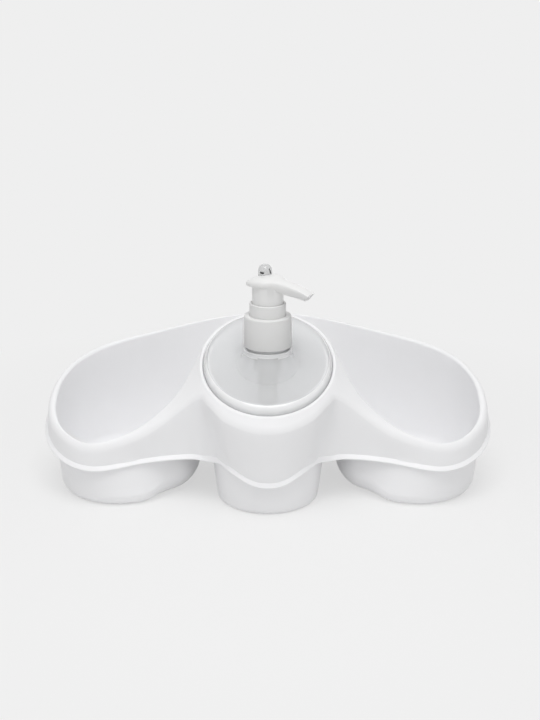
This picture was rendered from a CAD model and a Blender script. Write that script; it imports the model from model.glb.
"""Soap pump caddy: a moulded tray with two deep basins, and a well that holds a clear pump bottle.

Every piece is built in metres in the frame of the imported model. Outlines are worked out about the well's axis
and are moved to it at the end. The tray is one moulding, carved from lofted blanks: a shell, two bowls and a
cup.
"""

import math

import bmesh
import bpy
from mathutils import Matrix, Vector


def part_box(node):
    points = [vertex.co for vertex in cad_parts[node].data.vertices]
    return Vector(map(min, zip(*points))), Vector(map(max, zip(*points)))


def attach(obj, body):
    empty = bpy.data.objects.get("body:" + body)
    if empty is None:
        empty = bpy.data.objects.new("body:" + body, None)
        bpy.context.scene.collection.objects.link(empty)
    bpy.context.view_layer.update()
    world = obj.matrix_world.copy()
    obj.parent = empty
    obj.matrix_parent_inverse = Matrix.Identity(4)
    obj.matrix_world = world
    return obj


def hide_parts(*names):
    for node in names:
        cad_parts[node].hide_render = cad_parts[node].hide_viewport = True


bl_info = {
    "name": "Soap Pump Caddy",
    "version": (1, 0, 0),
    "blender": (4, 5, 0),
    "location": "View3D > Sidebar > Caddy",
    "description": "Builds a moulded counter caddy with a clear pump bottle in its well",
    "category": "Add Mesh",
}

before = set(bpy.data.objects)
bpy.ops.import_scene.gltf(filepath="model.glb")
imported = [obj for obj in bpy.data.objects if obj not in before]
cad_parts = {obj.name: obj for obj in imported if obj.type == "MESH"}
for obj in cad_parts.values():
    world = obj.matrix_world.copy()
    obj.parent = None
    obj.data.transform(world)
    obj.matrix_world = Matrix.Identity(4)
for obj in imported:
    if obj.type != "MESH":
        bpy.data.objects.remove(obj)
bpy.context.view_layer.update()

MM = 0.001
BODY_LOW, BODY_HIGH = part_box("caddy_body")
CLOSURE_LOW, CLOSURE_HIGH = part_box("closure")
RING_LOW, RING_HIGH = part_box("lock_ring")
KNOB_LOW, KNOB_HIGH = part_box("head_knob")
BOTTLE_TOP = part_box("bottle")[1].z
BARREL_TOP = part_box("pump_housing")[1].z
SKIRT_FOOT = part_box("pump_head")[0].z

# The pump, bottle and well share one upright axis
AXIS_X = (CLOSURE_LOW.x + CLOSURE_HIGH.x) / 2
AXIS_Y = (CLOSURE_LOW.y + CLOSURE_HIGH.y) / 2
HALF_W = (BODY_HIGH.x - BODY_LOW.x) / 2
DEPTH = BODY_HIGH.y - BODY_LOW.y
BULGE_R = AXIS_Y - BODY_LOW.y
BACK_D = BODY_HIGH.y - AXIS_Y
# The knob stands off that axis
KNOB_X = (KNOB_LOW.x + KNOB_HIGH.x) / 2 - AXIS_X
KNOB_Y = (KNOB_LOW.y + KNOB_HIGH.y) / 2 - AXIS_Y
KNOB_R = (KNOB_HIGH.x - KNOB_LOW.x) / 2

# Half plans from the front centre round to the back centre. Those of the bulge are shares of the bulge's radius,
# those of the wing are shares of half the length, and of the bulge's radius in front or the depth behind.
LIP_BULGE = [(0, -0.859), (0.272, -0.811), (0.522, -0.663), (0.728, -0.424), (0.978, -0.278)]
LIP_WING = [(0.4, -0.278), (0.533, -0.348), (0.68, -0.478), (0.767, -0.5), (0.853, -0.402), (0.927, -0.185),
            (0.98, 0.059), (1, 0.244), (0.98, 0.468), (0.913, 0.683), (0.787, 0.854), (0.6, 0.941),
            (0.387, 0.98), (0.187, 0.995), (0, 1)]
DECK_BULGE = [(0, -1), (0.315, -0.948), (0.62, -0.783), (0.837, -0.543), (0.978, -0.38)]
DECK_WING = [(0.4, -0.309), (0.527, -0.359), (0.673, -0.441), (0.76, -0.463), (0.842, -0.37), (0.912, -0.165),
             (0.964, 0.061), (0.983, 0.244), (0.963, 0.459), (0.897, 0.668), (0.773, 0.834), (0.593, 0.922),
             (0.383, 0.959), (0.187, 0.974), (0, 0.979)]
MIDDLE_BULGE = [(0, -0.87), (0.28, -0.83), (0.54, -0.685), (0.74, -0.49), (0.89, -0.26)]
MIDDLE_WING = [(0.347, -0.087), (0.453, 0.029), (0.573, 0.098), (0.647, 0.146), (0.7, 0.195), (0.733, 0.244),
               (0.747, 0.302), (0.747, 0.351), (0.72, 0.41), (0.667, 0.488), (0.573, 0.566), (0.44, 0.644),
               (0.28, 0.702), (0.14, 0.722), (0, 0.732)]
# A basin's mouth and its floor, in pairs: round the wing, back along the well, and past the front of the deck
MOUTH_WING = [(0.72, -0.391), (0.807, -0.333), (0.883, -0.13), (0.93, 0.078), (0.945, 0.254), (0.927, 0.459),
              (0.86, 0.654), (0.743, 0.8), (0.573, 0.888), (0.38, 0.927), (0.2, 0.946), (0.093, 0.927),
              (0.107, 0.683)]
FLOOR_WING = [(0.68, -0.4), (0.785, -0.3), (0.862, -0.085), (0.91, 0.107), (0.927, 0.283), (0.913, 0.468),
              (0.86, 0.644), (0.767, 0.78), (0.647, 0.849), (0.533, 0.839), (0.447, 0.771), (0.393, 0.644),
              (0.38, 0.566)]
MOUTH_WELL = [(0.5, 1.011), (0.815, 0.739), (1.039, 0.239), (1.239, 0)]
FLOOR_WELL = [(1.1, 1), (1.04, 0.7), (1.06, 0.33), (1.2, 0.04)]
MOUTH_FRONT = [(0.467, -0.135), (0.593, -0.293)]
FLOOR_FRONT = [(0.46, -0.15), (0.56, -0.34)]
# The lip's sloping face, from its edge in to the skirt: shares of its width inwards and of its thickness down
LIP_FACE = [(0, 0.5), (0.08, 0.4), (0.22, 0.28), (1, -0.28)]
# The flare under the neck's flange: shares of its width outwards, of its height, and of the shoulder's tilt
FLARE = [(1, 0, 1), (0.72, 0.1, 0.75), (0.4, 0.3, 0.42), (0.14, 0.58, 0.12), (0, 1, 0)]
# A ridge on the neck: shares of its height outwards and along the neck
RIDGE = [(0, -1.3), (0.6, -0.9), (1, -0.4), (1, 0.4), (0.6, 0.9), (0, 1.3)]
# Stations along the spout as shares of its length, half widths as shares of the widest, and heights of the
# plate's crown, edge and belly about the plate as shares of its rise
LEAF = [(-0.48, 0.05, -0.12, -0.166, -0.18), (-0.445, 0.3, -0.083, -0.166, -0.193),
        (-0.35, 0.66, 0.06, -0.166, -0.214), (-0.19, 0.9, 0.2, -0.145, -0.234), (0, 1, 0.26, -0.097, -0.262),
        (0.127, 0.91, 0.25, -0.055, -0.303), (0.254, 0.65, 0.2, -0.041, -0.386),
        (0.35, 0.5, 0.15, -0.076, -0.448), (0.508, 0.45, 0.075, -0.124, -0.5),
        (0.667, 0.43, -0.02, -0.166, -0.545), (0.825, 0.41, -0.135, -0.23, -0.6),
        (0.937, 0.4, -0.24, -0.31, -0.65), (1.02, 0.4, -0.32, -0.37, -0.68)]
# How far the spout's end leans back under its upper edge
END_LEAN = math.radians(36)
# Dark spots in the knob: shares of its radius to the right and to the back, of its height, and of its radius
KNOB_SPOTS = [(-0.6, -0.8, 0.52, 0.16), (-0.42, -0.9, 0.5, 0.18), (-0.24, -0.97, 0.51, 0.13),
              (0.62, -0.75, 0.74, 0.12), (0.7, -0.7, 0.62, 0.14), (0.76, -0.64, 0.5, 0.17)]

# Steps round the bottle and the pump's outside, round the well and the skirt's room, round small pieces and
# sockets, round the outlet, and up a basin's wall
LARGE_STEPS = 128
WELL_STEPS = 96
SMALL_STEPS = 64
OUTLET_STEPS = 48
WALL_STEPS = 14
# Vertices closer than this are one
MERGE = 0.004 * MM
# Edges flatter than this are shaded smooth
SMOOTH_UNDER = math.radians(32)
HEAD_SMOOTH_UNDER = math.radians(40)
# The small rounding of the head's edges, and the knob's clearance in its seat
EDGE_BREAK = 0.3 * MM
SEAT_GAP = 0.1 * MM

# The camera looks down at a point just beside the pump's axis
PHOTO_HEIGHT_PX = 720
PHOTO_FOCAL_PX = 1315.8
SENSOR_MM = 36.0
CAMERA_DISTANCE = 850 * MM
CAMERA_PITCH = math.radians(18.5)
CAMERA_TARGET = Vector((AXIS_X + 1.42 * MM, AXIS_Y, 94.8 * MM))
NEAR_CLIP = 50 * MM
# Each lamp's place, the point that it faces, its width and depth in metres, and its watts
LAMPS = {
    "overhead": ((0.0, -0.45, 1.25), (0.0, 0.0, 0.03), (0.7, 0.7), 7.0),
    "front": ((-0.15, -1.05, 0.95), (0.0, 0.0, 0.05), (2.0, 0.7), 1.6),
}
# The sky's light at the horizon, what it gains up to the zenith, and the share of both that is used
SKY_LEVEL = 0.55
SKY_GAIN = 0.8
SKY_SHARE = 0.5
# Half the floor's width in metres, the least share of the backdrop's plain colour in it, how much paler the rest
# is, and the distance from the pump where it turns plain, with the width of that change, in millimetres
FLOOR_HALF = 4.0
FLOOR_PLAIN = 0.65
FLOOR_LIFT = 1.06
FLOOR_FADE = 290.0
FLOOR_FADE_W = 200.0


def length(name, millimetres, description):
    """A size in metres, as a property of the panel."""
    return bpy.props.FloatProperty(name=name, default=millimetres * MM, description=description, unit="LENGTH",
                                   precision=4)


def angle(name, degrees, description):
    """An angle, as a property of the panel."""
    return bpy.props.FloatProperty(name=name, default=math.radians(degrees), description=description,
                                   unit="ROTATION")


def tint(name, default, description):
    """A colour, as a property of the panel."""
    return bpy.props.FloatVectorProperty(name=name, default=default, description=description, subtype="COLOR",
                                         min=0.0, max=1.0)


class CaddySizes(bpy.types.PropertyGroup):
    """Sizes of the moulding that its blanks are worked from"""

    lip_front: length("Lip at front", 19.1, "Height of the skirt's lower edge at the front")
    lip_back: length("Lip at back", 66.1, "Height of the skirt's lower edge at the back")
    crest_front: length("Crest at front", 32.7, "Height of the rim's crest at the front")
    crest_back: length("Crest at back", 83.7, "Height of the rim's crest at the back")
    slope_bow: length("Bow", 3.2, "How far the side lines bow up above a straight slope")
    back_rise: length("Back rise", 11.5, "Extra height of the back rim behind the well")
    skirt_wall: length("Skirt wall", 2.2, "Wall of the skirt")
    deck_t: length("Deck", 2.8, "Thickness of the deck")
    lip_out: length("Lip width", 2.0, "How far the lip stands out from the skirt")
    lip_t: length("Lip thickness", 2.2, "Thickness of the lip")
    lip_climb: length("Lip climb", 4.4, "How far the lip climbs on the flanks of the bulge")
    rim_w: length("Rim rounding width", 3.4, "Width of the rounding along the rim")
    rim_h: length("Rim rounding height", 5.0, "Height of the rounding along the rim")
    basin_wall: length("Basin wall", 1.8, "Wall of a basin")
    floor_t: length("Floor", 2.5, "Thickness of the floors")
    basin_fillet: length("Basin fillet", 9.5, "Radius between a basin's floor and its wall, inside")
    foot_fillet: length("Foot fillet", 5.0, "Radius under a basin's floor, outside")
    side_fillet: length("Side fillet", 17.0, "Radius of both on the side that faces the well")
    mouth_round: length("Mouth rounding", 1.7, "Radius of the edge round a basin's mouth")
    well_r: length("Well radius", 42.3, "Radius of the well at the height of its ring")
    well_wall: length("Well wall", 1.8, "Wall of the well")
    well_fillet: length("Well fillet", 9.0, "Radius between the well's floor and its wall")
    well_foot: length("Well foot", 3.5, "Radius under the well's floor, outside")
    ring_h: length("Ring height", 90.9, "Height of the well's ring at its axis")
    ring_w: length("Ring width", 1.7, "Width of the flat ring round the well's mouth")
    ring_round: length("Ring rounding", 0.6, "Radius of the edge round the well's mouth")
    deck_fall: length("Deck fall", 28, "Distance over which the deck falls away from the ring")
    deck_reach: length("Deck reach", 78, "Distance from the ring where that fall is over")
    ring_tilt: angle("Ring tilt", 26, "Slope of the well's ring, down towards the front")
    taper: bpy.props.FloatProperty(name="Taper", default=0.122,
                                   description="Radius that the well and the bottle gain over their height")


class BottleSizes(bpy.types.PropertyGroup):
    """Sizes of the clear bottle"""

    gap: length("Gap to well", 0.6, "Running gap between the bottle and the well")
    wall: length("Wall", 2.0, "Wall of the bottle")
    fillet: length("Fillet", 8, "Radius between the bottle's base and its wall")
    shoulder_h: length("Shoulder height", 94.8, "Height of the shoulder at the bottle's axis")
    shoulder_round: length("Shoulder rounding", 4, "Radius of the edge round the shoulder")
    flange_h: length("Flange height", 101.4, "Height of the neck's flange")
    flange_r: length("Flange radius", 15.8, "Radius of the neck's flange")
    flange_t: length("Flange thickness", 1.8, "Thickness of the neck's flange")
    flare_r: length("Flare radius", 15, "Radius of the neck below its flange")
    flare_foot_r: length("Flare foot", 21, "Radius where the neck's flare runs out on the shoulder")
    neck_r: length("Neck radius", 12.6, "Outer radius of the neck")
    bore_r: length("Bore radius", 10.6, "Radius of the neck's bore")
    thread_out: length("Thread", 0.85, "Height of a ridge on the neck")
    tilt: angle("Shoulder tilt", 24.7, "Slope of the shoulder, down towards the front")


class HeadSizes(bpy.types.PropertyGroup):
    """Sizes of the pump's head and its knob"""

    spout_len: length("Spout", 31.5, "Distance from the pump's axis to the tip of the spout")
    half_w: length("Half width", 11.3, "Widest half width of the plate")
    plate_rise: length("Plate rise", 14.5, "Height of the plate above the lower edge of the skirt")
    skirt_r: length("Skirt radius", 10.05, "Outer radius of the skirt")
    skirt_wall: length("Skirt wall", 1.45, "Wall of the skirt")
    socket_r: length("Socket radius", 3.56, "Radius of the stem's socket")
    channel_r: length("Channel radius", 1.4, "Radius of the spout's outlet")
    turn: angle("Spout turn", 30, "Direction of the spout, turned forwards from the right")


class CaddyFinish(bpy.types.PropertyGroup):
    """Colours of the mouldings"""

    body: tint("Body", (0.93, 0.93, 0.94), "White of the moulded tray")
    pump: tint("Pump", (0.785, 0.785, 0.78), "White of the pump's outer mouldings")
    head: tint("Head", (0.855, 0.855, 0.85), "White of the pump's head")
    natural: tint("Natural", (0.62, 0.63, 0.63), "Natural moulding of the pump's inner parts")
    clear: tint("Clear", (0.985, 0.988, 0.992), "Tint of the clear bottle")
    steel: tint("Steel", (0.60, 0.61, 0.63), "Drawn steel of the spring and the ball")
    floor: tint("Floor", (0.863, 0.863, 0.863), "Floor and backdrop")


def operator_pair(operation):
    """An operator and its reflected form, which add a Math node."""
    return (lambda self, other: self.node(operation, self, other),
            lambda self, other: self.node(operation, other, self))


class Maths:
    """A socket in an expression: an operator adds the Math node that works it out."""

    def __init__(self, tree, socket):
        self.tree = tree
        self.socket = socket

    def node(self, operation, *values):
        """The result of one Math node."""
        made = self.tree.nodes.new("ShaderNodeMath")
        made.operation = operation
        for place, value in enumerate(values):
            if isinstance(value, Maths):
                self.tree.links.new(value.socket, made.inputs[place])
            else:
                made.inputs[place].default_value = value
        return Maths(self.tree, made.outputs[0])

    __add__, __radd__ = operator_pair("ADD")
    __sub__, __rsub__ = operator_pair("SUBTRACT")
    __mul__, __rmul__ = operator_pair("MULTIPLY")
    __truediv__, __rtruediv__ = operator_pair("DIVIDE")

    def clamp(self):
        """The socket's value, held between 0 and 1."""
        return self.node("MINIMUM", self.node("MAXIMUM", self, 0.0), 1.0)

    def above(self, edge, soft):
        """0 below the edge and 1 above it, over a soft width."""
        return ((self - edge) / soft + 0.5).clamp()


class Finish:
    """A material, or the world, with the nodes that its function adds to it."""

    def __init__(self, owner, output="ShaderNodeOutputMaterial"):
        self.owner = owner
        owner.use_nodes = True
        self.tree = owner.node_tree
        self.tree.nodes.clear()
        self.output = self.add(output)

    def add(self, kind, settings=None, **sockets):
        """A node of a kind: its settings are set first, then the values or links of its sockets."""
        made = self.tree.nodes.new(kind)
        for name, value in (settings or {}).items():
            setattr(made, name, value)
        for name, value in sockets.items():
            wanted = name.replace("_", " ").lower()
            self.feed(next(s for s in made.inputs if s.name.lower() == wanted and s.enabled), value)
        return made

    def feed(self, socket, value):
        """Links a socket to another, or gives it a value."""
        if isinstance(value, Maths):
            self.tree.links.new(value.socket, socket)
        elif isinstance(value, bpy.types.NodeSocket):
            self.tree.links.new(value, socket)
        elif socket.type == "RGBA" and len(value) == 3:
            socket.default_value = (*value, 1.0)
        else:
            socket.default_value = value

    def value(self, socket):
        """A socket that can stand in an expression."""
        return Maths(self.tree, socket)

    def place(self):
        """Object coordinates, moved to the well's axis and measured in millimetres."""
        coordinates = self.add("ShaderNodeTexCoord").outputs["Object"]
        moved = self.add("ShaderNodeMapping", {"vector_type": "POINT"}, vector=coordinates,
                         location=(-AXIS_X / MM, -AXIS_Y / MM, 0.0), scale=(1 / MM, 1 / MM, 1 / MM))
        return moved.outputs["Vector"]

    def noise(self, place, size, detail=2.0):
        """Even noise about 0.5, whose patches are about size millimetres across."""
        made = self.add("ShaderNodeTexNoise", {"noise_dimensions": "3D"}, vector=place, scale=1.0 / size,
                        detail=detail)
        return self.value(made.outputs[0])

    def shade(self, low, high, mask):
        """A colour between two others."""
        mixed = self.add("ShaderNodeMix", {"data_type": "RGBA"}, factor=mask, a=low, b=high)
        return next(s for s in mixed.outputs if s.enabled)

    def mottled(self, colour, low, high, mask):
        """A colour that varies between two shares of itself."""
        return self.shade(scaled(colour, low), scaled(colour, high), mask)

    def bump(self, height, depth):
        """A normal from a height between 0 and 1 and a depth in metres."""
        return self.add("ShaderNodeBump", height=height, distance=depth, strength=1.0).outputs[0]

    def rays(self, *kinds):
        """1 for light rays of these kinds, and 0 for others."""
        path = self.add("ShaderNodeLightPath").outputs
        share = self.value(path[f"Is {kinds[0]} Ray"])
        for kind in kinds[1:]:
            share = share + self.value(path[f"Is {kind} Ray"])
        return share.clamp()

    def surface(self, **sockets):
        """The material, with one principled shader."""
        made = self.add("ShaderNodeBsdfPrincipled", **sockets)
        self.tree.links.new(made.outputs[0], self.output.inputs["Surface"])
        return self.owner

    def joined(self, factor, low, high):
        """The material or the world, as a mix of two shaders."""
        mixed = self.add("ShaderNodeMixShader", fac=factor)
        self.tree.links.new(low.outputs[0], mixed.inputs[1])
        self.tree.links.new(high.outputs[0], mixed.inputs[2])
        self.tree.links.new(mixed.outputs[0], self.output.inputs["Surface"])
        return self.owner


def scaled(colour, share):
    """A colour made darker or paler."""
    return tuple(min(1.0, c * share) for c in colour)


def moulded_plastic(name, colour, roughness, flow=40.0, specks=False):
    """Injection moulded plastic: faint flow clouds, a fine skin that is not quite even, and rare dark specks.

    Sizes of clouds, grain and specks are in millimetres.
    """
    grain_size, speck_spacing, speck_share, speck_edge = 1.4, 30.0, 0.0085, 0.004
    speck_tone, speck_strength, skin_depth = 0.55, 0.8, 0.12 * MM
    made = Finish(bpy.data.materials.new(name))
    place = made.place()
    clouds = made.noise(place, flow)
    grain = made.noise(place, grain_size, 3.0)
    colours = made.mottled(colour, 0.975, 1.015, clouds)
    if specks:
        dots = made.add("ShaderNodeTexVoronoi", {"feature": "F1"}, vector=place, scale=1.0 / speck_spacing)
        mask = 1.0 - made.value(dots.outputs["Distance"]).above(speck_share, speck_edge)
        colours = made.shade(colours, scaled(colour, speck_tone), mask * speck_strength)
    height = clouds * 0.6 + grain * 0.05
    return made.surface(base_color=colours, roughness=(roughness - 0.04 + grain * 0.08).clamp(),
                        normal=made.bump(height, skin_depth), ior=1.49, specular_ior_level=0.3)


def clear_plastic(name, colour, roughness=0.015, marks=(), ior=1.05, haze=0.3):
    """Clear moulded plastic with a faintly wavy skin. Lamps and the light of pale surfaces shine through it.

    Dark marks are places and radii.
    """
    wave_size, wave_depth, mark_colour, mark_edge_share = 18.0, 0.05 * MM, (0.004, 0.004, 0.004), 0.3
    made = Finish(bpy.data.materials.new(name))
    place = made.place()
    wave = made.noise(place, wave_size, 1.0)
    colours = made.mottled(colour, 0.99, 1, wave)
    for centre, radius in marks:
        far = made.add("ShaderNodeVectorMath", {"operation": "DISTANCE"})
        made.feed(far.inputs[0], place)
        made.feed(far.inputs[1], centre)
        near = 1.0 - made.value(far.outputs["Value"]).above(radius, radius * mark_edge_share)
        colours = made.shade(colours, mark_colour, near)
    glass = made.add("ShaderNodeBsdfPrincipled", base_color=colours, roughness=roughness, ior=ior,
                     transmission_weight=1.0 - haze, coat_weight=0.8, coat_ior=1.5, coat_roughness=0.02,
                     normal=made.bump(wave, wave_depth))
    open_air = made.add("ShaderNodeBsdfTransparent", color=colour)
    return made.joined(made.rays("Shadow", "Diffuse"), glass, open_air)


def milky_plastic(name, colour, alpha=1.0):
    """Natural plastic, slightly milky."""
    cloud_size, cloud_depth, roughness = 12.0, 0.05 * MM, 0.35
    made = Finish(bpy.data.materials.new(name))
    clouds = made.noise(made.place(), cloud_size)
    return made.surface(base_color=made.mottled(colour, 0.95, 1.03, clouds), ior=1.5, alpha=alpha,
                        roughness=(roughness + clouds * 0.1).clamp(), normal=made.bump(clouds, cloud_depth))


def drawn_steel(name, colour):
    """Bright steel with fine drawing lines."""
    line_size, roughness = 0.3, 0.18
    made = Finish(bpy.data.materials.new(name))
    lines = made.noise(made.place(), line_size, 3.0)
    return made.surface(base_color=made.mottled(colour, 0.85, 1, lines), metallic=1.0,
                        roughness=(roughness + lines * 0.15).clamp())


def foam(name, colour):
    """Soft foam of the neck's gasket."""
    pore_size, pore_depth = 0.35, 0.1 * MM
    made = Finish(bpy.data.materials.new(name))
    pores = made.noise(made.place(), pore_size)
    return made.surface(base_color=made.mottled(colour, 0.8, 1, pores), roughness=0.85,
                        normal=made.bump(pores, pore_depth))


def key(keys, place):
    """A key point of a closed curve, counted round it."""
    return keys[place % len(keys)]


def between(a, b, c, d, t):
    """A point between b and c on the smooth curve through four points."""
    return 0.5 * (2 * b + t * (c - a) + t * t * (2 * a - 5 * b + 4 * c - d) + t ** 3 * (3 * b - a - 3 * c + d))


def closed_curve(keys, steps):
    """A smooth closed curve through its key points."""
    return [between(key(keys, i - 1), key(keys, i), key(keys, i + 1), key(keys, i + 2), k / steps)
            for i in range(len(keys)) for k in range(steps)]


def open_curve(keys, steps):
    """A smooth open curve through its key points, which may have any number of values each."""
    last = len(keys) - 1
    rows = [between(keys[max(0, i - 1)], keys[i], keys[i + 1], keys[min(last, i + 2)], k / steps)
            for i in range(last) for k in range(steps)]
    return rows + [keys[last]]


def outset(curve, by):
    """A closed curve moved outwards by one distance, or by a list with one for each point."""
    points = []
    for i, point in enumerate(curve):
        along = key(curve, i + 1) - key(curve, i - 1)
        distance = by[i] if isinstance(by, list) else by
        points.append(point + distance * Vector((along.y, -along.x)).normalized())
    return points


def blended(a, b, t):
    """A row between two others."""
    return [p + t * (q - p) for p, q in zip(a, b)]


def bulge_points(shares):
    """Points of the bulge about the well's axis."""
    return [Vector((x * BULGE_R, y * BULGE_R)) for x, y in shares]


def wing_points(shares):
    """Points of the right wing about the well's axis."""
    return [Vector((x * HALF_W, y * (BULGE_R if y < 0 else BACK_D))) for x, y in shares]


def mirrored(half):
    """A whole outline from its right half, whose first and last points are on the middle line."""
    return half + [Vector((-p.x, p.y)) for p in half[-2:0:-1]]


def ease(t):
    """0 below 0 and 1 above 1, with a smooth change between."""
    u = min(1.0, max(0.0, t))
    return u * u * (3 - 2 * u)


def arc(steps, end=math.pi / 2):
    """Angles from 0 to a quarter turn, or to another end."""
    return [end * i / steps for i in range(steps + 1)]


def fillet_steps(r, steps, end=math.pi / 2):
    """Steps of a rounding, as pairs of distances: one falls from its radius to 0 as the other grows to it."""
    return [(r * (1 - math.sin(a)), r * (1 - math.cos(a))) for a in arc(steps, end)]


def even_shares(steps):
    """Even shares after 0, up to 1."""
    return [(i + 1) / steps for i in range(steps)]


class Moulding:
    """The outlines and heights of the tray, worked out from its sizes."""

    outline_steps, mouth_steps = 10, 16
    # The back rim rises over a share of the half length, from a share of the depth behind and over another
    rise_reach, rise_start, rise_depth = 0.9, 0.585, 0.34
    # The lip climbs over a share of the bulge's radius, by a share of its climb in front, and more outwards
    climb_reach, climb_front, climb_lean = 0.957, 0.34, 1.3
    # A basin's side that faces the well lies within a share of the bulge's radius, and fades over another
    facing_from, facing_over = 1.26, 0.59
    # The least share of the rim's rounding, and where the full rounding starts to come back
    rim_least, rim_from = 0.45, 0.8
    # The shell's innermost row as a share of the bulge's radius, and the most that the ring is of the middle row
    core_share, ring_limit = 0.78, 0.985

    def __init__(self, sizes):
        self.s = sizes
        self.lip = self.outline(LIP_BULGE, LIP_WING)
        self.deck = self.outline(DECK_BULGE, DECK_WING)
        self.middle = self.outline(MIDDLE_BULGE, MIDDLE_WING)
        self.mouth = self.basin(MOUTH_WING, MOUTH_WELL, MOUTH_FRONT)
        self.floor = self.basin(FLOOR_WING, FLOOR_WELL, FLOOR_FRONT)
        self.ring = [p * min((self.mouth_r(p) + sizes.ring_w) / p.length, self.ring_limit) for p in self.middle]
        self.core = [p * (BULGE_R * self.core_share) / p.length for p in self.middle]

    def outline(self, bulge, wing):
        """A curve round the whole tray."""
        return closed_curve(mirrored(bulge_points(bulge) + wing_points(wing)), self.outline_steps)

    def basin(self, wing, well, front):
        """A curve round the right basin."""
        return closed_curve(wing_points(wing) + bulge_points(well) + wing_points(front), self.mouth_steps)

    def slope(self, front, back, y):
        """A height between one at the front and one at the back, on a line that bows up a little."""
        t = (y + BULGE_R) / DEPTH
        return front + t * (back - front) + 4 * self.s.slope_bow * t * (1 - t)

    def lip_z(self, p):
        """The lip climbs a little at the front of the bulge, most on its flanks, and not at all past them."""
        t = min(1.0, abs(p.x) / (BULGE_R * self.climb_reach))
        climb = self.climb_front * (1 - t * t) ** 2 + math.sin(math.pi * t ** self.climb_lean) ** 2
        return self.slope(self.s.lip_front, self.s.lip_back, p.y) + (0 if p.y > 0 else self.s.lip_climb * climb)

    def well_side(self, p):
        """1 on the side of a basin that faces the well, where its wall is steeper and its fillet larger."""
        return 1 - ease((p.length / BULGE_R - self.facing_from) / self.facing_over)

    def rise(self, p):
        """The back rim's extra height behind the well."""
        across = min(1.0, abs(p.x) / (HALF_W * self.rise_reach))
        depth = ease((p.y / BACK_D - self.rise_start) / self.rise_depth)
        return self.s.back_rise * math.cos(math.pi / 2 * across) ** 2 * depth

    def ring_z(self, p):
        """The height of the ring's sloping plane."""
        return self.s.ring_h + math.tan(self.s.ring_tilt) * p.y

    def mouth_r(self, p):
        """The radius of the well's mouth, where its taper meets the ring's plane."""
        return self.s.well_r / (1 - self.s.taper * math.tan(self.s.ring_tilt) * p.y / p.length)

    def fall(self, p):
        """1 at the ring, falling to 0 where the deck is clear of it."""
        d = max(0.0, p.length - self.mouth_r(p) - self.s.ring_w)
        return math.exp(-d / self.s.deck_fall) * max(0.0, 1 - (d / self.s.deck_reach) ** 2)

    def deck_z(self, p):
        """The height of the deck, which falls away from the ring to the crest line."""
        crest = self.slope(self.s.crest_front, self.s.crest_back, p.y) + self.rise(p)
        return crest + (self.ring_z(p) - crest) * self.fall(p)

    def on_lip(self, curve, down):
        """A curve at the lip, or below it."""
        return [Vector((p.x, p.y, self.lip_z(p) - down)) for p in curve]

    def on_deck(self, curve, down):
        """A curve on the deck, or below it by one distance, or by a list with one for each point."""
        depths = down if isinstance(down, list) else [down] * len(curve)
        return [Vector((p.x, p.y, self.deck_z(p) - depth)) for p, depth in zip(curve, depths)]

    def rim_share(self, p):
        """The rim's rounding is tighter round the bulge."""
        if p.y > 0:
            return 1.0
        return self.rim_least + (1 - self.rim_least) * ease(abs(p.x) / BULGE_R - self.rim_from)

    def well_at(self, z):
        """The well's radius at a height."""
        return self.s.well_r - self.s.taper * (self.s.ring_h - z)


def loft(rows, last_tip=None):
    """A closed solid: a ring of edges is drawn out row by row and closed to a point at each end."""
    bm = bmesh.new()
    ring = bmesh.ops.create_circle(bm, cap_ends=False, segments=len(rows[0]), radius=1.0)["verts"]
    edges = list(bm.edges)
    ring = in_order(ring, edges)
    place_on(ring, rows[0])
    tip_to(bm, ring, edges)
    for row in rows[1:]:
        drawn = bmesh.ops.extrude_edge_only(bm, edges=edges)["geom"]
        edges = [g for g in drawn if isinstance(g, bmesh.types.BMEdge)]
        fresh = {g for g in drawn if isinstance(g, bmesh.types.BMVert)}
        ring = [next(e.other_vert(v) for e in v.link_edges if e.other_vert(v) in fresh) for v in ring]
        place_on(ring, row)
    tip_to(bm, ring, edges, last_tip)
    bmesh.ops.recalc_face_normals(bm, faces=bm.faces)
    return bm


def in_order(ring, edges):
    """The vertices of a ring of edges, one after another."""
    start = ring[0]
    chain = [start]
    linked = set(edges)
    step = next(e for e in start.link_edges if e in linked)
    vert = step.other_vert(start)
    while vert is not start:
        chain.append(vert)
        step = next(e for e in vert.link_edges if e in linked and e is not step)
        vert = step.other_vert(vert)
    return chain


def place_on(ring, row):
    """Moves the vertices of a ring to the points of a row."""
    for vert, point in zip(ring, row):
        vert.co = point


def tip_to(bm, ring, edges, tip=None):
    """Closes a ring with a fan to a point, by default its middle."""
    middle = sum((v.co for v in ring), Vector((0, 0, 0))) / len(ring)
    drawn = bmesh.ops.extrude_edge_only(bm, edges=edges)["geom"]
    fresh = [g for g in drawn if isinstance(g, bmesh.types.BMVert)]
    bmesh.ops.pointmerge(bm, verts=fresh, merge_co=middle if tip is None else tip)


def moved(bm, x, y):
    """A blank moved sideways."""
    bmesh.ops.translate(bm, verts=bm.verts, vec=(x, y, 0))
    return bm


def flipped(bm):
    """The blank of the other side."""
    bmesh.ops.scale(bm, vec=(-1, 1, 1), verts=bm.verts)
    bmesh.ops.recalc_face_normals(bm, faces=bm.faces)
    return bm


def made_object(name, bm, material=None, shift=True):
    """A bmesh, moved from the well's axis to its place, as an object at the origin."""
    if shift:
        moved(bm, AXIS_X, AXIS_Y)
    mesh = bpy.data.meshes.new(name)
    bm.to_mesh(mesh)
    bm.free()
    piece = bpy.data.objects.new(name, mesh)
    bpy.context.scene.collection.objects.link(piece)
    finish_mesh(piece, material)
    return piece


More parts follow.
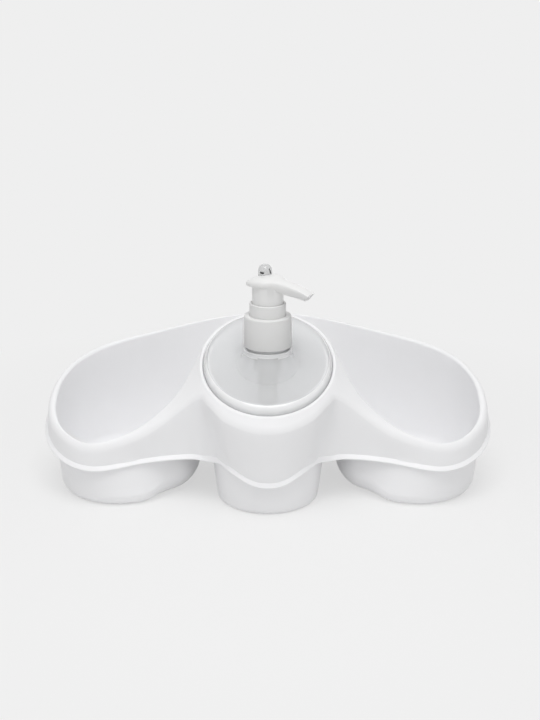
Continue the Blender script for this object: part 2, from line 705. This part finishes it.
def finish_mesh(piece, material, sharp=SMOOTH_UNDER):
    """Shades a piece smooth but for its sharp edges, and gives it its material."""
    piece.data.polygons.foreach_set("use_smooth", [True] * len(piece.data.polygons))
    piece.data.set_sharp_from_angle(angle=sharp)
    if material:
        piece.data.materials.clear()
        piece.data.materials.append(material)


def carved(piece, joined, cut):
    """Joins named blanks to a piece and cuts others out of it."""
    blanks = [(made_object(name, bm), "UNION") for name, bm in joined.items()]
    blanks += [(made_object(name, bm), "DIFFERENCE") for name, bm in cut.items()]
    for blank, operation in blanks:
        modifier = piece.modifiers.new(blank.name, "BOOLEAN")
        modifier.solver = "MANIFOLD"
        modifier.operation = operation
        modifier.object = blank
    bpy.context.view_layer.update()
    shaped = piece.evaluated_get(bpy.context.evaluated_depsgraph_get())
    mesh = bpy.data.meshes.new_from_object(shaped)
    piece.modifiers.clear()
    piece.data = mesh
    for blank, operation in blanks:
        bpy.data.objects.remove(blank)
    bm = bmesh.new()
    bm.from_mesh(mesh)
    bmesh.ops.remove_doubles(bm, verts=bm.verts, dist=MERGE)
    bmesh.ops.dissolve_degenerate(bm, edges=bm.edges, dist=MERGE)
    bm.to_mesh(mesh)
    bm.free()


def turned(profile, steps):
    """A closed profile of radius and height, turned round the axis."""
    bm = bmesh.new()
    verts = [bm.verts.new((r, 0, z)) for r, z in profile]
    edges = [bm.edges.new((verts[i - 1], verts[i])) for i in range(len(verts))]
    bmesh.ops.spin(bm, geom=verts + edges, cent=(0, 0, 0), axis=(0, 0, 1), dvec=(0, 0, 0), angle=math.tau,
                   steps=steps, use_merge=True, use_normal_flip=False, use_duplicate=False)
    bmesh.ops.remove_doubles(bm, verts=bm.verts, dist=MERGE / 4)
    bmesh.ops.recalc_face_normals(bm, faces=bm.faces)
    return bm


def disc(r, low, high):
    """The closed profile of a round blank."""
    return [(0, low), (r, low), (r, high), (0, high)]


def eased(corners):
    """A closed profile from corners of radius, height and the radius of their rounding."""
    steps = 4
    points = []
    for i, corner in enumerate(corners):
        here = Vector(corner[:2])
        if not corner[2]:
            points.append(tuple(here))
            continue
        before = (Vector(corners[i - 1][:2]) - here).normalized()
        after = (Vector(corners[(i + 1) % len(corners)][:2]) - here).normalized()
        half = before.angle(after) / 2
        centre = here + (before + after).normalized() * corner[2] / math.sin(half)
        start, end = (here + way * corner[2] / math.tan(half) - centre for way in (before, after))
        points += [tuple(centre + corner[2] * start.slerp(end, k / steps)) for k in range(steps + 1)]
    return points


def broken(bm, segments=3, sharper=math.radians(30)):
    """Rounds every edge that is sharper than an angle."""
    edges = [e for e in bm.edges if len(e.link_faces) == 2 and e.calc_face_angle(0) > sharper]
    bmesh.ops.bevel(bm, geom=edges, offset=EDGE_BREAK, offset_type="OFFSET", segments=segments, profile=0.5,
                    affect="EDGES", material=-1, clamp_overlap=True)
    return bm


def circle_row(r, z, climb=0.0, taper=0.0, steps=LARGE_STEPS):
    """A ring about the axis, tilted up to the back where climb isn't zero, on a wall that tapers."""
    points = []
    for a in arc(steps, math.tau)[:-1]:
        slope = climb * math.sin(a)
        out = r / (1 - taper * slope)
        points.append(Vector((out * math.cos(a), out * math.sin(a), z + slope * out)))
    return points


def shell_rows(m):
    """Rows of the shell: out under the deck, round the lip, up the skirt, over the rim and in to the well."""
    s = m.s
    deck_steps, ring_steps, ring_crowding, corner_share = 14, 26, 1.6, 0.4
    skirt = outset(m.lip, -s.lip_out)
    inner = outset(m.deck, -s.skirt_wall - s.rim_w * corner_share)
    under = outset(inner, -s.rim_w * (1 - corner_share))
    rims = [m.rim_share(p) for p in m.deck]
    top = outset(m.deck, [-s.rim_w * share for share in rims])
    deck_shares = even_shares(deck_steps)
    ring_shares = [1 - (1 - t) ** ring_crowding for t in even_shares(ring_steps)]
    lip_round = s.lip_t * 0.42
    inward = [m.on_deck(m.core, s.deck_t)]
    inward += [m.on_deck(blended(m.middle, m.ring, t), s.deck_t) for t in reversed(ring_shares[1::2])]
    inward += [m.on_deck(blended(under, m.middle, t), s.deck_t) for t in reversed(deck_shares[1::2])]
    inward += [m.on_deck(under, s.deck_t), m.on_deck(inner, s.deck_t + s.rim_h * corner_share)]
    lip = [m.on_lip(outset(skirt, -s.skirt_wall), s.lip_t)]
    lip += [m.on_lip(outset(m.lip, -inside), s.lip_t - up) for inside, up in fillet_steps(lip_round, 4)]
    lip += [m.on_lip(outset(m.lip, -s.lip_out * out), s.lip_t * down) for out, down in LIP_FACE]
    edge = m.on_deck(m.deck, [s.rim_h * share for share in rims])
    skirt_rows = [blended(lip[-1], edge, t) for t in (0.25, 0.5, 0.75)]
    rim = [m.on_deck(outset(m.deck, [-s.rim_w * share * inside for share in rims]),
                     [s.rim_h * share * down for share in rims]) for down, inside in fillet_steps(1, 9)]
    deck = [m.on_deck(blended(top, m.middle, t), 0) for t in deck_shares]
    ring = [m.on_deck(blended(m.middle, m.ring, t), 0) for t in ring_shares]
    return inward + lip + skirt_rows + rim + deck + ring + [m.on_deck(m.core, 0)]


def bowl_rows(m, bottom, wall, fillet, top_row):
    """Rows of a basin: its floor, the rounding at the floor, and the wall up to a top row."""
    s = m.s
    crowding, bend, bend_at_well = 1.5, 0.8, 0.25
    shares = [m.well_side(p) for p in m.floor]
    radii = [fillet + share * (s.side_fillet - fillet) for share in shares]
    bends = [bend - (bend - bend_at_well) * share for share in shares]
    base = outset(m.floor, [-radius for radius in radii])
    side = outset(m.floor, wall)
    feet = [radius + s.floor_t for radius in radii]
    rows = []
    for a in arc(10):
        row = blended(base, side, math.sin(a))
        rows.append([Vector((p.x, p.y, z - math.cos(a) * (z - bottom))) for p, z in zip(row, feet)])
    for i in range(1, WALL_STEPS):
        h = (i / WALL_STEPS) ** crowding
        row = []
        for foot, z, curve, top in zip(side, feet, bends, top_row):
            t = h ** curve
            x, y = foot.x + t * (top.x - foot.x), foot.y + t * (top.y - foot.y)
            row.append(Vector((x, y, z + h * (top.z - z))))
        rows.append(row)
    return rows + [top_row]


def basin_outside(m):
    """The blank of a basin's outside, closed under the deck."""
    s = m.s
    top = m.on_deck(outset(m.mouth, s.basin_wall), s.deck_t * 0.5)
    tip = Vector((HALF_W * 0.65, BACK_D * 0.35, s.basin_fillet * 2 + s.floor_t))
    return loft(bowl_rows(m, 0, s.basin_wall, s.foot_fillet, top), tip)


def basin_inside(m):
    """The room of a basin, with a rounded edge that runs out on the deck at a small angle."""
    s = m.s
    r = s.mouth_round
    steep = math.radians(72)
    run = r * 0.4
    rows = bowl_rows(m, s.floor_t, 0, s.basin_fillet, m.on_deck(m.mouth, r))
    edge = fillet_steps(r, 6, steep)[1:]
    rows += [m.on_deck(outset(m.mouth, out), down) for down, out in edge]
    down, out = edge[-1]
    rim = outset(m.mouth, out + run * math.sin(steep))
    rows.append(m.on_deck(rim, down - run * math.cos(steep)))
    rows.append([Vector((p.x, p.y, 2 * s.crest_back)) for p in rim])
    return loft(rows)


def well_row(m, z, share, inset):
    """A ring of the well, tilted by a share of its mouth's tilt."""
    return circle_row(m.well_at(z) - inset, z, share * math.tan(m.s.ring_tilt), m.s.taper, WELL_STEPS)


def cup_rows(m, low, top, inset, fillet):
    """Rows of a tapered cup about the axis: level at its foot and tilted like the ring at its top."""
    first = low + fillet
    rows = [well_row(m, low + up, 0, inset + inside) for inside, up in fillet_steps(fillet, 6)]
    return rows + [well_row(m, first + t * (top - first), t * t, inset) for t in even_shares(10)]


def well_outside(m):
    """The blank of the well's outside, closed under the deck."""
    s = m.s
    return loft(cup_rows(m, 0, s.ring_h - s.deck_t * 0.6, -s.well_wall, s.well_foot))


def well_inside(m):
    """The room of the well, with a rounded edge at its mouth."""
    s = m.s
    r = s.ring_round
    steep = math.radians(70)
    rows = cup_rows(m, s.floor_t, s.ring_h - r, 0, s.well_fillet - s.well_wall)
    edge = fillet_steps(r, 4, steep)[1:]
    rows += [well_row(m, s.ring_h - down, 1, -out) for down, out in edge]
    rim = -edge[-1][1] - r * 0.8
    rows += [well_row(m, s.ring_h + up, 1, rim) for up in (r * 0.3, 4 * s.well_fillet)]
    return loft(rows)


class BuildTray(bpy.types.Operator):
    """Builds the moulded tray with its two basins and its well"""

    bl_idname = "caddy.tray"
    bl_label = "Tray"

    def execute(self, context):
        m = Moulding(context.scene.caddy_sizes)
        colours = context.scene.caddy_finish
        tray = made_object("tray", loft(shell_rows(m)))
        blanks = {"bowl_right": basin_outside(m), "bowl_left": flipped(basin_outside(m)), "cup": well_outside(m)}
        rooms = {"room_right": basin_inside(m), "room_left": flipped(basin_inside(m)), "bore": well_inside(m)}
        carved(tray, blanks, rooms)
        finish_mesh(tray, moulded_plastic("tray_white", colours.body, roughness=0.4, specks=True))
        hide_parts("caddy_body")
        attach(tray, "caddy")
        return {"FINISHED"}


def bottle_rows(m, b, inset, low, fillet):
    """Rows of one skin of the bottle, from the middle of its base to the top of its flare."""
    climb = math.tan(b.tilt)
    high = b.shoulder_h - inset
    radius = b.shoulder_round - inset * 0.5
    first, last = low + fillet, high - radius

    def skin_r(z):
        return m.well_at(z) - b.gap - inset

    rows = [circle_row(skin_r(first) - inside, low + up) for inside, up in fillet_steps(fillet, 8)]
    for t in even_shares(12)[:-1]:
        z = first + t * (last - first)
        rows.append(circle_row(skin_r(z), z, climb * t * t, m.s.taper))
    for down, inside in fillet_steps(radius, 8):
        rows.append(circle_row(skin_r(high - down) - inside, high - down, climb, m.s.taper))
    edge_r = skin_r(high) - radius
    rows += [circle_row(edge_r + t * (b.flare_foot_r - edge_r), high, climb) for t in even_shares(6)[:-1]]
    for out, up, tilted in open_curve([Vector(share) for share in FLARE], 4):
        r = b.flare_r + out * (b.flare_foot_r - b.flare_r) - inset * (1 - 0.7 * out)
        z = b.shoulder_h + up * (b.flange_h - b.shoulder_h) - inset * (0.4 + 0.6 * out)
        rows.append(circle_row(r, z, climb * tilted))
    return rows


def neck_rows(b):
    """Rows of the flange, the neck with its ridges, and the bore."""
    low, high = b.flange_h - b.flange_t / 2, b.flange_h + b.flange_t
    edge = fillet_steps(b.flange_t * 0.3, 4)
    rows = [circle_row(b.flare_r, low)]
    rows += [circle_row(b.flange_r - inside, low + up) for inside, up in edge]
    rows += [circle_row(b.flange_r - inside, high - down) for down, inside in edge]
    root = b.thread_out * 0.3
    rows += [circle_row(b.neck_r + root, high), circle_row(b.neck_r, high + root)]
    pitch = b.neck_r * 0.25
    for i in range(3):
        z = CLOSURE_LOW.z + pitch + i * pitch
        rows += [circle_row(b.neck_r + out * b.thread_out, z + up * b.thread_out) for out, up in RIDGE]
    rim = (b.neck_r - b.bore_r) / 2
    rows += [circle_row(b.bore_r + rim * (1 + math.cos(a)), BOTTLE_TOP - rim * 0.5 * (1 - math.sin(a)))
             for a in arc(8, math.pi)]
    return rows + [circle_row(b.bore_r, b.flange_h - b.wall * 0.4)]


def haze_edges(piece, m, b):
    """Gives the flange, the neck and the shoulder's rounded edge the second, hazier finish."""
    neck_r, neck_low = b.flange_r * 1.01, b.flange_h - b.flange_t * 0.6
    edge_w, edge_top, edge_foot = (b.shoulder_round * share for share in (1.25, 0.12, 1.8))
    for face in piece.data.polygons:
        x, y, z = face.center
        out = math.hypot(x - AXIS_X, y - AXIS_Y)
        under = b.shoulder_h + math.tan(b.tilt) * (y - AXIS_Y) - z
        neck = out < neck_r and z > neck_low
        edge = out > m.well_at(z) - edge_w and edge_top < under < edge_foot
        face.material_index = int(neck or edge)


class BuildBottle(bpy.types.Operator):
    """Builds the clear bottle with its sloping shoulder, flange and neck"""

    bl_idname = "caddy.bottle"
    bl_label = "Bottle"

    def execute(self, context):
        m = Moulding(context.scene.caddy_sizes)
        b = context.scene.caddy_bottle
        colours = context.scene.caddy_finish
        outer = bottle_rows(m, b, 0, m.s.floor_t, b.fillet)
        inner = bottle_rows(m, b, b.wall, m.s.floor_t + b.wall, b.fillet - b.wall)
        piece = made_object("clear_bottle", loft(outer + neck_rows(b) + inner[::-1]),
                            clear_plastic("bottle_clear", colours.clear))
        piece.data.materials.append(clear_plastic("flange_clear", colours.clear, ior=1.15, haze=0.6))
        haze_edges(piece, m, b)
        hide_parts("bottle")
        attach(piece, "bottle")
        return {"FINISHED"}


def closure_piece(b, material):
    """The screw closure: a plain collar with a rounded top edge, open below."""
    r, low, high = CLOSURE_HIGH.x - AXIS_X, CLOSURE_LOW.z, CLOSURE_HIGH.z
    bore, roof = b.neck_r + b.thread_out * 1.9, high - b.wall * 0.9
    hole, edge = RING_HIGH.x - AXIS_X + b.gap * 0.2, b.wall * 0.15
    corners = [(hole, roof, 0), (bore, roof, 0), (bore, low, edge), (r, low, edge),
               (r - edge, high, b.wall * 0.45), (hole, high, 0)]
    return made_object("screw_closure", turned(eased(corners), LARGE_STEPS), material)


def locking_ring(b, h, material):
    """The ring that the head's skirt slides in."""
    r, low, high = RING_HIGH.x - AXIS_X, RING_LOW.z, RING_HIGH.z
    web_top = BARREL_TOP + b.wall * 0.7
    bore, plug, guide = h.skirt_r + b.gap * 0.25, b.bore_r * 0.72, h.socket_r + b.gap * 0.4
    edge = b.wall * 0.35
    corners = [(guide, low, 0), (plug, low, 0), (plug, BARREL_TOP, 0), (r, BARREL_TOP, 0), (r, high, edge),
               (bore, high, edge * 0.3), (bore, web_top, 0), (guide, web_top, 0)]
    return made_object("locking_ring", turned(eased(corners), LARGE_STEPS), material)


class BuildPump(bpy.types.Operator):
    """Builds the pump's closure and locking ring, and finishes its inner pieces"""

    bl_idname = "caddy.pump"
    bl_label = "Pump"

    def execute(self, context):
        scene = context.scene
        colours = scene.caddy_finish
        white = moulded_plastic("pump_white", colours.pump, roughness=0.42, flow=15.0)
        closure = closure_piece(scene.caddy_bottle, white)
        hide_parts("closure")
        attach(closure, "closure")
        ring = locking_ring(scene.caddy_bottle, scene.caddy_head, white)
        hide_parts("lock_ring")
        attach(ring, "pump")
        inner = {
            "pump_housing": milky_plastic("housing_natural", scaled(colours.natural, 0.65)),
            "neck_gasket": foam("gasket_grey", (0.6, 0.6, 0.6)),
            "dip_tube": milky_plastic("tube_natural", colours.natural, alpha=0.6),
            "stem": milky_plastic("stem_natural", colours.natural),
            "valve_rod": milky_plastic("rod_natural", colours.natural),
            "piston": milky_plastic("piston_natural", colours.natural),
            "return_spring": drawn_steel("spring_steel", colours.steel),
            "inlet_ball": drawn_steel("ball_steel", colours.steel),
        }
        for name, material in inner.items():
            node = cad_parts[name]
            node.data.materials.clear()
            node.data.materials.append(material)
        return {"FINISHED"}


def leaf_row(share, h, plate):
    """One section of the head's plate, from its station along the spout: crowned above, a keel below."""
    x, w = share[0] * h.spout_len, share[1] * h.half_w
    top, edge, belly = (plate + share[place] * h.plate_rise for place in (2, 3, 4))
    points = []
    for a in arc(SMALL_STEPS, math.tau)[:-1]:
        across, up = math.cos(a), math.sin(a)
        if up >= 0:
            reach, z = math.copysign(abs(across) ** 0.8, across), edge + (top - edge) * up ** 0.55
        else:
            reach, z = math.copysign(abs(across) ** 0.7, across), edge + (belly - edge) * (-up) ** 1.4
        points.append(Vector((x, -w * reach, z)))
    return points


def cut_end(leaf, edge):
    """Cuts the spout's end off below its upper edge."""
    bmesh.ops.bisect_plane(leaf, geom=[*leaf.verts, *leaf.edges, *leaf.faces], plane_co=edge, clear_outer=True,
                           plane_no=(math.cos(END_LEAN), 0, -math.sin(END_LEAN)))
    bmesh.ops.holes_fill(leaf, edges=[e for e in leaf.edges if e.is_boundary], sides=0)
    bmesh.ops.recalc_face_normals(leaf, faces=leaf.faces)
    broken(leaf, 2, math.radians(45))


def head_piece(h, material):
    """The head: a crowned plate that runs out in the spout, over a hollow skirt with the stem's socket."""
    plate = SKIRT_FOOT + h.plate_rise
    bore_r, boss_r = h.skirt_r - h.skirt_wall, h.socket_r + h.skirt_wall
    low, roof = SKIRT_FOOT - h.skirt_wall, plate - h.plate_rise * 0.42
    spout_top = plate - h.plate_rise * 0.3
    leaf = loft([leaf_row(share, h, plate) for share in open_curve([Vector(share) for share in LEAF], 6)])
    cut_end(leaf, Vector((h.spout_len, 0, spout_top)))
    outlet = moved(turned(disc(h.channel_r, SKIRT_FOOT, spout_top), OUTLET_STEPS), h.spout_len * 0.9, 0)
    for blank in (leaf, outlet):
        bmesh.ops.transform(blank, matrix=Matrix.Rotation(-h.turn, 4, "Z"), verts=blank.verts)
    skirt = broken(turned(disc(h.skirt_r, SKIRT_FOOT, plate - h.plate_rise * 0.03), LARGE_STEPS))
    rooms = {
        "skirt_room": turned([(boss_r, low), (bore_r, low), (bore_r, roof), (boss_r, roof)], WELL_STEPS),
        "socket": turned(disc(h.socket_r, low, plate - h.plate_rise * 0.29), SMALL_STEPS),
        "outlet": outlet,
        "seat": moved(turned(disc(KNOB_R + SEAT_GAP, KNOB_LOW.z, KNOB_HIGH.z), SMALL_STEPS), KNOB_X, KNOB_Y),
    }
    head = made_object("head_plate", leaf)
    carved(head, {"skirt": skirt}, rooms)
    finish_mesh(head, material, HEAD_SMOOTH_UNDER)
    return head


def knob_piece(material):
    """A clear dome that stands in its seat on the plate."""
    low, high = KNOB_LOW.z, KNOB_HIGH.z
    side = (high - low) * 0.55
    dome = [(KNOB_R * math.cos(a) ** 0.8, low + side + (high - low - side) * math.sin(a)) for a in arc(14)[:-1]]
    bm = turned([(0, low), (KNOB_R, low), *dome, (0, high)], SMALL_STEPS)
    return made_object("clear_knob", moved(bm, KNOB_X, KNOB_Y), material)


def knob_marks():
    """The knob's dark spots, as places about the well's axis and radii, in millimetres."""
    marks = []
    for right, back, up, size in KNOB_SPOTS:
        centre = (KNOB_X + KNOB_R * right, KNOB_Y + KNOB_R * back, KNOB_LOW.z + (KNOB_HIGH.z - KNOB_LOW.z) * up)
        marks.append((tuple(place / MM for place in centre), KNOB_R * size / MM))
    return marks


class BuildHead(bpy.types.Operator):
    """Builds the pump's head with its leaf-shaped plate and spout, and the clear knob on it"""

    bl_idname = "caddy.head"
    bl_label = "Head"

    def execute(self, context):
        colours = context.scene.caddy_finish
        white = moulded_plastic("head_white", colours.head, roughness=0.35, flow=15.0)
        head = head_piece(context.scene.caddy_head, white)
        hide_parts("pump_head")
        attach(head, "head")
        clear = clear_plastic("knob_clear", scaled(colours.clear, 0.8), roughness=0.05, marks=knob_marks(),
                              ior=1.2, haze=0.35)
        knob = knob_piece(clear)
        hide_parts("head_knob")
        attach(knob, "head")
        return {"FINISHED"}


def floor_piece(colour):
    """A pale floor that shades near the object and meets the backdrop's colour further out."""
    made = Finish(bpy.data.materials.new("floor_pale"))
    far = made.add("ShaderNodeVectorMath", {"operation": "LENGTH"}, vector=made.place())
    away = made.value(far.outputs["Value"]).above(FLOOR_FADE, FLOOR_FADE_W)
    lit = made.add("ShaderNodeBsdfDiffuse", color=scaled(colour, FLOOR_LIFT))
    plain = made.add("ShaderNodeEmission", color=colour, strength=1.0)
    seen = made.rays("Camera", "Glossy", "Transmission")
    made.joined((FLOOR_PLAIN + away * (1 - FLOOR_PLAIN)) * seen, lit, plain)
    bm = bmesh.new()
    bmesh.ops.create_grid(bm, x_segments=2, y_segments=2, size=FLOOR_HALF)
    floor = made_object("floor", bm, made.owner, shift=False)


def pale_world(colour):
    """A soft sky, brighter above, which shows the backdrop's colour where it is seen."""
    made = Finish(bpy.data.worlds.new("pale_world"), "ShaderNodeOutputWorld")
    way = made.add("ShaderNodeSeparateXYZ", vector=made.add("ShaderNodeTexCoord").outputs["Generated"])
    light = SKY_LEVEL + made.value(way.outputs["Z"]) * SKY_GAIN
    sky = made.add("ShaderNodeBackground", color=(1.0, 1.0, 1.0), strength=(light * SKY_SHARE).clamp())
    shown = made.add("ShaderNodeBackground", color=colour, strength=1.0)
    return made.joined(made.rays("Camera", "Glossy", "Transmission"), sky, shown)


def photo_camera(scene):
    """The camera that fits the photo."""
    camera = bpy.data.objects.new("camera", bpy.data.cameras.new("camera"))
    scene.collection.objects.link(camera)
    camera.data.sensor_width = SENSOR_MM
    camera.data.lens = PHOTO_FOCAL_PX / PHOTO_HEIGHT_PX * SENSOR_MM
    camera.data.clip_start = NEAR_CLIP
    camera.rotation_euler = (math.pi / 2 - CAMERA_PITCH, 0, 0)
    ahead = Vector((0, math.cos(CAMERA_PITCH), -math.sin(CAMERA_PITCH)))
    camera.location = CAMERA_TARGET - ahead * CAMERA_DISTANCE
    scene.camera = camera


def soft_light(scene, name, place, towards, size, watts):
    """A rectangular lamp that faces a point."""
    lamp = bpy.data.lights.new(name, "AREA")
    lamp.shape = "RECTANGLE"
    lamp.size, lamp.size_y = size
    lamp.energy = watts
    made = bpy.data.objects.new(name, lamp)
    scene.collection.objects.link(made)
    made.location = place
    made.rotation_euler = (Vector(place) - Vector(towards)).to_track_quat("Z", "Y").to_euler()


class BuildStage(bpy.types.Operator):
    """Builds the floor, the lights, the world and the camera"""

    bl_idname = "caddy.stage"
    bl_label = "Stage"

    def execute(self, context):
        scene = context.scene
        scene.view_settings.view_transform = "Standard"
        photo_camera(scene)
        floor_piece(scene.caddy_finish.floor)
        scene.world = pale_world(scene.caddy_finish.floor)
        for name, (place, towards, size, watts) in LAMPS.items():
            soft_light(scene, name, place, towards, size, watts)
        return {"FINISHED"}


class CaddyPanel(bpy.types.Panel):
    """Lists the caddy's pieces and their sizes"""

    bl_idname = "VIEW3D_PT_caddy"
    bl_label = "Soap pump caddy"
    bl_space_type = "VIEW_3D"
    bl_region_type = "UI"
    bl_category = "Caddy"

    def draw(self, context):
        for place in GROUPS:
            group = getattr(context.scene, place)
            box = self.layout.box()
            for name in group.__annotations__:
                box.prop(group, name)
        for operator in BUILDERS:
            self.layout.operator(operator.bl_idname)


BUILDERS = (BuildStage, BuildTray, BuildBottle, BuildPump, BuildHead)
GROUPS = {"caddy_sizes": CaddySizes, "caddy_bottle": BottleSizes, "caddy_head": HeadSizes,
          "caddy_finish": CaddyFinish}
CLASSES = (*GROUPS.values(), *BUILDERS, CaddyPanel)


def register():
    for made in CLASSES:
        bpy.utils.register_class(made)
    for name, group in GROUPS.items():
        setattr(bpy.types.Scene, name, bpy.props.PointerProperty(type=group))


def unregister():
    for name in GROUPS:
        delattr(bpy.types.Scene, name)
    for made in reversed(CLASSES):
        bpy.utils.unregister_class(made)


def main():
    register()
    for builder in BUILDERS:
        group, name = builder.bl_idname.split(".")
        getattr(getattr(bpy.ops, group), name)()


if __name__ == "__main__":
    main()
